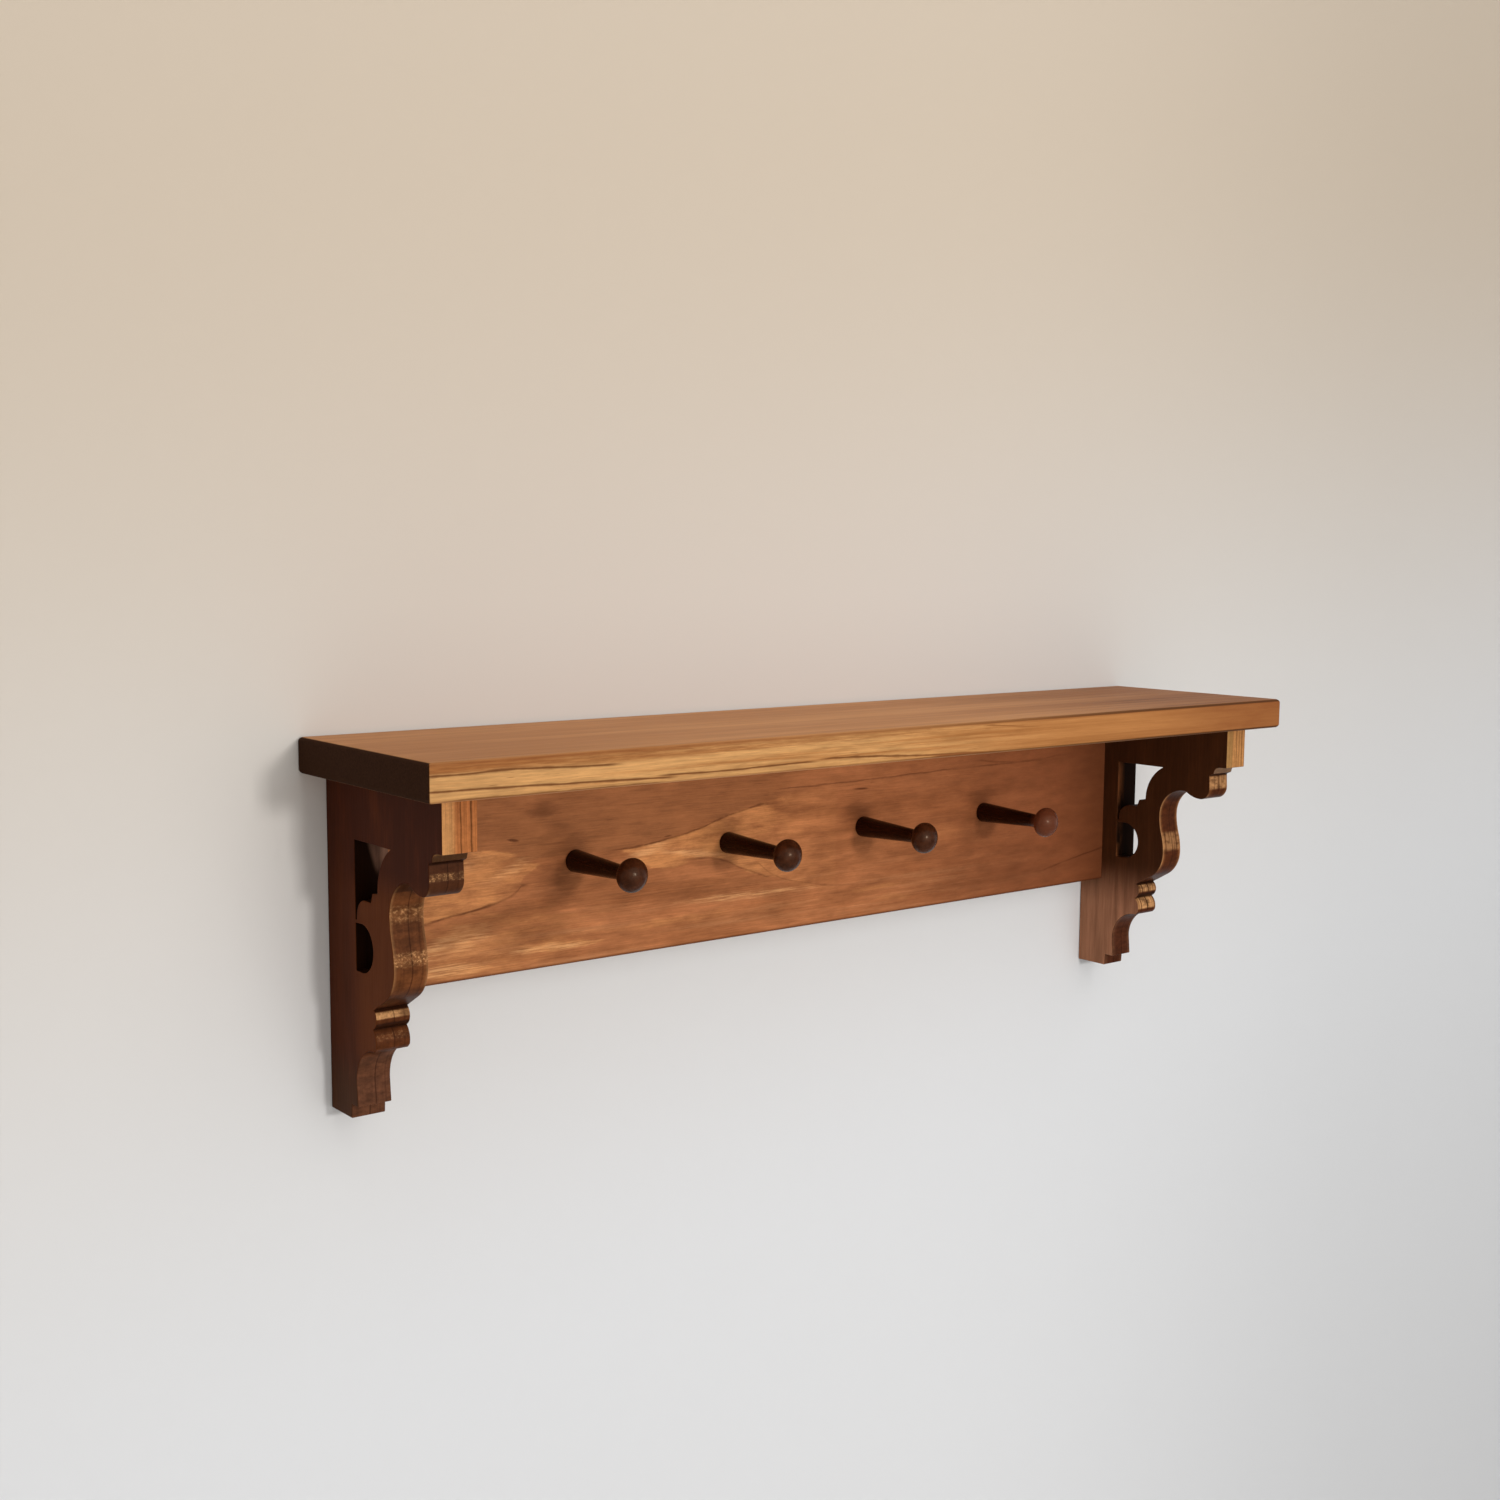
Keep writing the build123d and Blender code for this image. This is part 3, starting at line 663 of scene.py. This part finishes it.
def fretwork_wood():
    """Inner edges of the fretwork, nearly black with stain and painted shade, but for a streak of painted
    light, partly rubbed, and a side with painted light.
    """
    tones = colours()
    graph = FinishGraph("fretwork_wood")
    x, y, z = graph.axes
    layers = graph.streaks(X, 2.4, 70)
    smudges = graph.noise((0.1, 0.06, 0.05), 3, 0.6)
    right_bracket, left_bracket = graph.span(x, 0, 100), graph.span(x, 0, -100)
    # painted light, partly rubbed, in smudges near the right bracket's inner face
    left_rim = graph.times(graph.span(x, 291, 286), right_bracket)
    rubbed = graph.times(graph.span(smudges, 0.34, 0.6), left_rim, 0.8)
    base = graph.mix(rubbed, tones.fret_stain_and_shade, tones.umber_edge)
    # painted light on the side towards the pegs, high up in the left bracket
    slant = graph.maths("ADD", graph.maths("MULTIPLY_ADD", z, 0.27, x), BRACKET_MIDDLE + 0.6)
    paler = graph.times(
        graph.span(slant, -1.5, 1.5), left_bracket, graph.span(smudges, 0.3, 0.6, 0.5),
        graph.span(z, -15, -7),
    )
    base = graph.over(base, tones.fret_painted_light, paler)
    base = graph.toned(base, layers, 0.7, 1.3)
    return graph.finish(base, 0.5, layers, 0.06 * MM, 0.4, Specular_IOR_Level=0.02)


def peg_wood():
    """Espresso stain with painted light on the knobs' fronts; the grain runs along each peg, and the right knob
    is rubbed redder.
    """
    tones = colours()
    graph = FinishGraph("peg_wood")
    fine = graph.streaks(Y, 22, 0.8)
    clouds = graph.noise((0.25, 0.12, 0.25), 3, 0.6)
    base = graph.mix(graph.span(fine, 0.3, 0.7), tones.espresso_dark, tones.espresso)
    knob = graph.span(graph.axes[Y], -64, -70)
    # painted light on the knob's front, in clouds
    base = graph.over(base, tones.knob_front_light, knob, graph.span(clouds, 0.3, 0.7, 0.3, 0.8))
    base = graph.over(base, tones.knob_red, knob, graph.span(graph.axes[X], 110, 160, 0, 0.55))
    rough = graph.ranged(fine, 0.275, 0.22)
    warm_shine = (1, 0.76, 0.54, 1)
    return graph.finish(base, rough, fine, 0.03 * MM, 0.3, Specular_IOR_Level=0.15, Specular_Tint=warm_shine)


def tenon_wood():
    """Bare beech of the hidden tenons."""
    graph = FinishGraph("tenon_wood")
    fine = graph.streaks(Z, 22, 0.7)
    return graph.finish(graph.toned(colours().beech, fine, 0.75, 1.05), 0.6, fine, 0.1 * MM, 0.5)


def plated_steel(name, tone, roughness):
    """Rolled and plated steel with faint drawn lines down Z."""
    graph = FinishGraph(name)
    drawn = graph.noise((6, 6, 0.12))
    base = graph.toned(tone, graph.noise((0.35, 0.35, 0.35), 2), 0.84, 1.04)
    rough = graph.ranged(drawn, roughness - 0.06, roughness + 0.08)
    return graph.finish(base, rough, drawn, 0.02 * MM, 0.4, Metallic=1)


# ---------------- mesh helpers

def linked(name, mesh_data, materials):
    """An object in the scene from a bmesh, which is used up."""
    mesh = bpy.data.meshes.new(name)
    mesh_data.to_mesh(mesh)
    mesh_data.free()
    for material in materials:
        mesh.materials.append(material)
    piece = bpy.data.objects.new(name, mesh)
    bpy.context.scene.collection.objects.link(piece)
    return piece


def new_piece(name, mesh_data, materials, replaced):
    """A finished piece that rides on the body in the place of a CAD node."""
    piece = linked(name, mesh_data, materials)
    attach(piece, BODY)
    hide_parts(replaced)
    return piece


def shade(piece, angle=40):
    """Smooth shading up to an angle in degrees, with normals led by the large faces."""
    for face in piece.data.polygons:
        face.use_smooth = True
    piece.data.set_sharp_from_angle(angle=radians(angle))
    lead = piece.modifiers.new("flat faces", "WEIGHTED_NORMAL")
    lead.keep_sharp = True


def merged_copy(node):
    """A bmesh of a node's shape with its triangles joined into clean faces."""
    mesh_data = bmesh.new()
    mesh_data.from_mesh(frame["nodes"][node].data)
    bmesh.ops.remove_doubles(mesh_data, verts=mesh_data.verts, dist=MERGE_DISTANCE)
    flat = radians(0.5)
    bmesh.ops.dissolve_limit(mesh_data, angle_limit=flat, verts=mesh_data.verts, edges=mesh_data.edges)
    return mesh_data


def round_edges(mesh_data, edges, width, segments):
    """Round some edges to a width."""
    bmesh.ops.bevel(
        mesh_data, geom=edges, offset=width, offset_type="OFFSET", segments=segments, profile=0.5,
        affect="EDGES", clamp_overlap=True, material=-1,
    )


def ease_edges(mesh_data, width, segments, angle):
    """Round every edge that is sharper than an angle in degrees."""
    sharp = [edge for edge in mesh_data.edges if edge.calc_face_angle(0.0) > radians(angle)]
    round_edges(mesh_data, sharp, width, segments)


def paint_node(node, material):
    """Give a CAD node that keeps its own mesh one material."""
    piece = frame["nodes"][node]
    piece.data.materials.clear()
    piece.data.materials.append(material)


# ---------------- operators

class PieceOperator(bpy.types.Operator):
    """Base of the operators that build pieces."""

    bl_options = {"REGISTER", "UNDO"}


class BuildShelfBoard(PieceOperator):
    """Shelf board with rounded edges"""

    bl_idname = "peg_shelf.shelf_board"
    bl_label = "Shelf Board"

    def execute(self, context):
        low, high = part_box("shelf_board")
        mesh_data = bmesh.new()
        bmesh.ops.create_cube(mesh_data, size=1.0)
        bmesh.ops.scale(mesh_data, vec=high - low, verts=mesh_data.verts)
        bmesh.ops.translate(mesh_data, vec=(low + high) / 2, verts=mesh_data.verts)
        level = [
            edge for edge in mesh_data.edges
            if abs(edge.verts[0].co.z - edge.verts[1].co.z) < MERGE_DISTANCE
        ]
        round_edges(mesh_data, level, sizes().shelf_round, segments=5)
        ease_edges(mesh_data, sizes().shelf_corner, segments=3, angle=30)
        shade(new_piece("shelf_top", mesh_data, [shelf_wood()], "shelf_board"))
        return {"FINISHED"}


class BuildPegBoard(PieceOperator):
    """Board that holds the pegs, as the frame has it"""

    bl_idname = "peg_shelf.peg_board"
    bl_label = "Peg Board"

    def execute(self, context):
        paint_node("back_board", board_wood())
        return {"FINISHED"}


class BuildBrackets(PieceOperator):
    """Fret-sawn brackets with sanded edges"""

    bl_idname = "peg_shelf.brackets"
    bl_label = "Brackets"

    def execute(self, context):
        materials = [bracket_wood(), bracket_edge_wood(), fretwork_wood()]
        for side in ("left", "right"):
            mesh_data = merged_copy(side + "_bracket")
            sort_edge_faces(mesh_data)
            ease_edges(mesh_data, sizes().bracket_ease, segments=2, angle=30)
            name = side + "_scroll_bracket"
            shade(new_piece(name, mesh_data, materials, side + "_bracket"))
        return {"FINISHED"}


def sort_edge_faces(mesh_data):
    """Material 0 on a bracket's two faces, 1 round its outline and 2 inside its openings."""
    rims = []
    turned_away = cos(radians(45.0))
    waiting = {face for face in mesh_data.faces if abs(face.normal.x) < turned_away}
    while waiting:
        rim, front = [], [waiting.pop()]
        while front:
            face = front.pop()
            rim.append(face)
            beside = {other for edge in face.edges for other in edge.link_faces} & waiting
            waiting -= beside
            front.extend(beside)
        rims.append(rim)
    outline = max(rims, key=lambda rim: sum(face.calc_area() for face in rim))
    for rim in rims:
        for face in rim:
            face.material_index = 1 if rim is outline else 2


class BuildPegs(PieceOperator):
    """Turned pegs with flattened ball knobs"""

    bl_idname = "peg_shelf.pegs"
    bl_label = "Pegs"

    def execute(self, context):
        material = peg_wood()
        low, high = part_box("pegs")
        board_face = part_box("back_board")[0].y
        profile = peg_profile(board_face - low.y, high.y - board_face, (high.z - low.z) / 2)
        hooks = [mount for mount in frame["record"]["mounts"] if mount["name"].endswith("_hook")]
        for number, hook in enumerate(hooks, start=1):
            seat = Vector((hook["pos_m"][0], board_face, (low.z + high.z) / 2))
            piece = new_piece("peg_%d" % number, turned(profile, seat), [material], "pegs")
            shade(piece, angle=50)
        return {"FINISHED"}


def peg_profile(reach, tenon_length, knob_radius):
    """Half of a peg's length section as (out, height), from the end of its tenon to its knob's tip."""
    size = sizes()
    rim, front = size.knob_rim, size.knob_front
    tenon, base, neck = size.tenon_diameter / 2, size.base_diameter / 2, size.neck_diameter / 2
    slope = size.knob_slope
    rim_height = knob_radius - rim
    face_radius = (front**2 + rim_height**2 - rim**2) / (2 * (front - rim))
    face_angle = atan2(rim_height, face_radius - front)
    rim_centre = (reach - front, rim_height)
    rim_end = pi - slope
    back = (rim_centre[0] + rim * cos(rim_end), rim_centre[1] + rim * sin(rim_end))
    neck_place = back[0] - (back[1] - neck) * tan(slope)

    foot = arc((size.foot_round, base - size.foot_round), size.foot_round, pi, pi / 2, steps=4)
    # share of its radius that the throat's centre lies before the place where neck and knob meet
    throat_lead = 0.55
    throat_centre = (neck_place - size.throat_round * throat_lead, neck + size.throat_round)
    throat = arc(throat_centre, size.throat_round, -pi / 2, -slope, steps=5)
    knob = arc(rim_centre, rim, rim_end, face_angle, steps=12)
    face = arc((reach - face_radius, 0.0), face_radius, face_angle, 0.0, steps=8)
    return [(-tenon_length, 0.0), (-tenon_length, tenon), (0.0, tenon), *foot, *throat, *knob, *face[1:]]


def arc(centre, radius, start, end, steps):
    """Points on an arc from one angle to another."""
    angles = [start + (end - start) * step / steps for step in range(steps + 1)]
    return [(centre[0] + radius * cos(angle), centre[1] + radius * sin(angle)) for angle in angles]


def turned(profile, seat):
    """A bmesh spun from (out, height) points round the line through seat that points to -Y."""
    turns = 64
    mesh_data = bmesh.new()
    points = [mesh_data.verts.new(seat + Vector((0.0, -out, height))) for out, height in profile]
    edges = [mesh_data.edges.new(pair) for pair in zip(points, points[1:])]
    bmesh.ops.spin(
        mesh_data, geom=points + edges, cent=seat, axis=(0.0, 1.0, 0.0), dvec=(0.0, 0.0, 0.0),
        angle=2 * pi, steps=turns, use_merge=True, use_duplicate=False,
    )
    bmesh.ops.remove_doubles(mesh_data, verts=mesh_data.verts, dist=MERGE_DISTANCE)
    bmesh.ops.recalc_face_normals(mesh_data, faces=mesh_data.faces)
    return mesh_data


class BuildTenons(PieceOperator):
    """Loose tenons inside the joints"""

    bl_idname = "peg_shelf.tenons"
    bl_label = "Tenons"

    def execute(self, context):
        material = tenon_wood()
        for node in frame["nodes"]:
            if node.endswith("_tenons"):
                paint_node(node, material)
        return {"FINISHED"}


class BuildHangers(PieceOperator):
    """Keyhole plates and their screws"""

    bl_idname = "peg_shelf.hangers"
    bl_label = "Hangers"

    def execute(self, context):
        tones = colours()
        for name, node, slot, tone, roughness in (
            ("hanger_plates", "keyhole_plates", "hanger_steel", tones.zinc, 0.36),
            ("hanger_screws", "plate_screws", "screw_steel", tones.brass, 0.30),
        ):
            mesh_data = merged_copy(node)
            ease_edges(mesh_data, sizes().steel_ease, segments=2, angle=35)
            shade(new_piece(name, mesh_data, [plated_steel(slot, tone, roughness)], node))
        return {"FINISHED"}


# ---------------- stage

def one_sided(name, low_tone, high_tone):
    """A matt surface that shows from its front only, with painted light: warmer and dimmer high up, and a
    little darker to the right with painted shade.
    """
    graph = Graph(bpy.data.materials.new(name))
    axes = graph.add("SeparateXYZ", {0: graph.add("TexCoord", {}).outputs["Object"]}).outputs
    # painted warm light high up
    slant = graph.maths("MULTIPLY_ADD", axes["X"], -0.15, axes["Z"])
    tone = graph.mix(graph.span(slant, -0.30, 0.42), low_tone, high_tone)
    # painted shade to the right
    tone = graph.scaled(tone, graph.span(axes["X"], 0.10, 0.70, 1, 0.88))
    matt = graph.add("BsdfDiffuse", {"Color": tone})
    clear = graph.add("BsdfTransparent", {})
    behind = graph.add("NewGeometry", {}).outputs["Backfacing"]
    both = graph.add("MixShader", {0: behind, 1: matt.outputs[0], 2: clear.outputs[0]})
    graph.add("OutputMaterial", {"Surface": both.outputs[0]})
    return graph.owner


def resting_places():
    """Where the shelf's flat back rests on the wall, a little inside: (low x, high x, low z, high z)."""
    inset = 1 * MM
    round_inset = sizes().shelf_round + inset
    shelf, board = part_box("shelf_board"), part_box("back_board")
    left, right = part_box("left_bracket"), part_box("right_bracket")
    top = shelf[1].z - round_inset
    return [
        (shelf[0].x + round_inset, shelf[1].x - round_inset, shelf[0].z + round_inset, top),
        (left[0].x + inset, right[1].x - inset, board[0].z + inset, top),
        (left[0].x + inset, left[1].x - inset, left[0].z + inset, board[1].z),
        (right[0].x + inset, right[1].x - inset, right[0].z + inset, board[1].z),
    ]


def cut_openings(mesh_data, openings):
    """Cut upright openings, given as (low x, high x, low z, high z), out of a flat mesh."""
    for opening in openings:
        for across, place in zip(("X", "X", "Z", "Z"), opening):
            normal = Vector((1, 0, 0)) if across == "X" else Vector((0, 0, 1))
            whole = mesh_data.verts[:] + mesh_data.edges[:] + mesh_data.faces[:]
            bmesh.ops.bisect_plane(mesh_data, geom=whole, plane_co=normal * place, plane_no=normal)
    inside = []
    for face in mesh_data.faces:
        middle = face.calc_center_median()
        if any(x0 < middle.x < x1 and z0 < middle.z < z1 for x0, x1, z0, z1 in openings):
            inside.append(face)
    bmesh.ops.delete(mesh_data, geom=inside, context="FACES")


def stage_plane(name, corner, width_edge, height_edge, material, openings=()):
    """A flat stage piece from a corner and two edges; it faces along their cross product."""
    mesh_data = bmesh.new()
    corner, width_edge, height_edge = Vector(corner), Vector(width_edge), Vector(height_edge)
    points = [corner, corner + width_edge, corner + width_edge + height_edge, corner + height_edge]
    mesh_data.faces.new([mesh_data.verts.new(point) for point in points])
    cut_openings(mesh_data, openings)
    linked(name, mesh_data, [material])


def soft_light(name, place, aim, size, power):
    """A square area lamp that points at aim."""
    lamp = bpy.data.lights.new(name, "AREA")
    lamp.shape = "SQUARE"
    lamp.size = size
    lamp.energy = power
    holder = bpy.data.objects.new(name, lamp)
    holder.location = place
    holder.rotation_euler = (Vector(aim) - Vector(place)).to_track_quat("-Z", "Y").to_euler()
    bpy.context.scene.collection.objects.link(holder)


def pale_world(strength, shown_tone):
    """Even light all round, with a pale background for the camera and for reflections."""
    world = bpy.data.worlds.new("studio")
    bpy.context.scene.world = world
    graph = Graph(world)
    light = graph.add("Background", {"Strength": strength})
    shown = graph.add("Background", {"Color": opaque(shown_tone)})
    rays = graph.add("LightPath", {}).outputs
    direct = graph.most(rays["Is Camera Ray"], rays["Is Glossy Ray"])
    seen = graph.add("MixShader", {0: direct, 1: light.outputs[0], 2: shown.outputs[0]})
    graph.add("OutputWorld", {"Surface": seen.outputs[0]})


# name, place, aim, size and power of each lamp
STAGE_LIGHTS = (
    ("window light", (0.05, -2.6, -0.1), (0, -0.05, -0.05), 3.2, 32),
    ("lamp light", (0.05, -2.7, 0.37), (0, -0.05, 0), 0.22, 21),
    ("ceiling light", (0.1, -1.3, 1.9), (0, -0.1, 0), 2, 17),
    ("rear light", (-0.9, 2.4, 0.7), (0, 0, 0), 2, 40),
)


class BuildStage(bpy.types.Operator):
    """Wall, floor, soft light and camera"""

    bl_idname = "peg_shelf.stage"
    bl_label = "Stage"

    def execute(self, context):
        tones = colours()
        wall_gap = 0.3 * MM
        floor_z, half_width, depth = -1.15, 4, 5
        across, up, back = (2 * half_width, 0, 0), (0, 0, 4), (0, depth + wall_gap, 0)
        wall = one_sided("stage_wall", tones.wall_low, tones.wall_high)
        floor = one_sided("stage_floor", tones.floor, tones.floor)
        # open where the shelf hides it, so that light from behind reaches the hangers
        stage_plane("wall", (-half_width, wall_gap, floor_z), across, up, wall, resting_places())
        stage_plane("floor", (-half_width, -depth, floor_z), across, back, floor)
        for light in STAGE_LIGHTS:
            soft_light(*light)
        pale_world(0.38, tones.background)
        add_camera()
        context.scene.view_settings.view_transform = "Standard"
        return {"FINISHED"}


def add_camera():
    """Camera to the left of the shelf, a little above it."""
    view_from = (-0.70419, -0.86577, 0.15518)
    turn_right, tilt_down, roll = 38.21, 6.41, 0.43
    level = 90
    camera = bpy.data.cameras.new("camera")
    camera.sensor_width = 36
    camera.lens = 43.347
    holder = bpy.data.objects.new("camera", camera)
    aim = (
        Matrix.Rotation(radians(-turn_right), 4, "Z")
        @ Matrix.Rotation(radians(level - tilt_down), 4, "X")
        @ Matrix.Rotation(radians(roll), 4, "Z")
    )
    holder.matrix_world = Matrix.Translation(view_from) @ aim
    bpy.context.scene.collection.objects.link(holder)
    bpy.context.scene.camera = holder


# ---------------- panel and registration

OPERATORS = (BuildStage, BuildShelfBoard, BuildPegBoard, BuildBrackets, BuildPegs, BuildTenons, BuildHangers)


class PegShelfPanel(bpy.types.Panel):
    """Sidebar panel with the sizes, the colours and one button for each group of pieces"""

    bl_idname = "VIEW3D_PT_peg_shelf"
    bl_label = "Peg Shelf"
    bl_space_type = "VIEW_3D"
    bl_region_type = "UI"
    bl_category = "Peg Shelf"

    def draw(self, context):
        for group in (sizes(), colours()):
            for name in group.bl_rna.properties.keys():
                if name not in ("rna_type", "name"):
                    self.layout.prop(group, name)
        for operator in OPERATORS:
            self.layout.operator(operator.bl_idname)


CLASSES = (ShelfSizes, ShelfColours, *OPERATORS, PegShelfPanel)


def register():
    for cls in CLASSES:
        bpy.utils.register_class(cls)
    bpy.types.Scene.peg_shelf_sizes = bpy.props.PointerProperty(type=ShelfSizes)
    bpy.types.Scene.peg_shelf_colours = bpy.props.PointerProperty(type=ShelfColours)


def unregister():
    del bpy.types.Scene.peg_shelf_colours
    del bpy.types.Scene.peg_shelf_sizes
    for cls in reversed(CLASSES):
        bpy.utils.unregister_class(cls)


def main():
    """Build everything."""
    register()
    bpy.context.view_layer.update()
    bpy.ops.peg_shelf.stage()
    bpy.ops.peg_shelf.shelf_board()
    bpy.ops.peg_shelf.peg_board()
    bpy.ops.peg_shelf.brackets()
    bpy.ops.peg_shelf.pegs()
    bpy.ops.peg_shelf.tenons()
    bpy.ops.peg_shelf.hangers()


if __name__ == "__main__":
    main()
